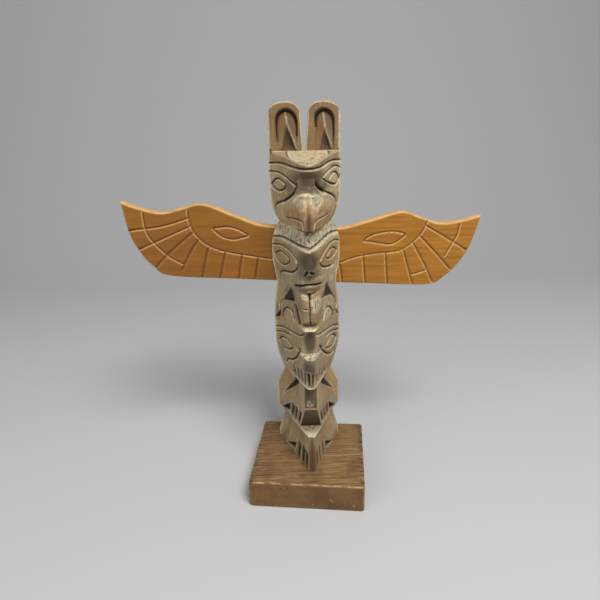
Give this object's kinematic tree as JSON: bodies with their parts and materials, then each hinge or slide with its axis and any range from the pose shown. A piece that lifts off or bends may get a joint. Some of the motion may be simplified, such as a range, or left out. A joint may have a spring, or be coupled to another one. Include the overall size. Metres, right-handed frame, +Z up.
{
  "type": "totem pole",
  "caption": "Carved wooden totem pole on a square base: stacked animal figures cut into a three-sided log, with upright ears and one spread wing board behind it.",
  "frame": {"origin": "middle of the base's underside", "axes": "+Z up along the log, -Y towards the front edge of the log and the viewer, +X to the viewer's right along the wings"},
  "size_m": [0.2291, 0.0772, 0.2509],
  "materials": {
    "base_wood": "worn dark brown stain, open grain",
    "pole_wood": "grey brown stain, pale where worn, satin",
    "wing_wood": "golden brown stain, satin"
  },
  "bodies": {
    "root": {"base": "base_wood", "pole": "pole_wood", "wings": "wing_wood"}
  },
  "joints": []
}
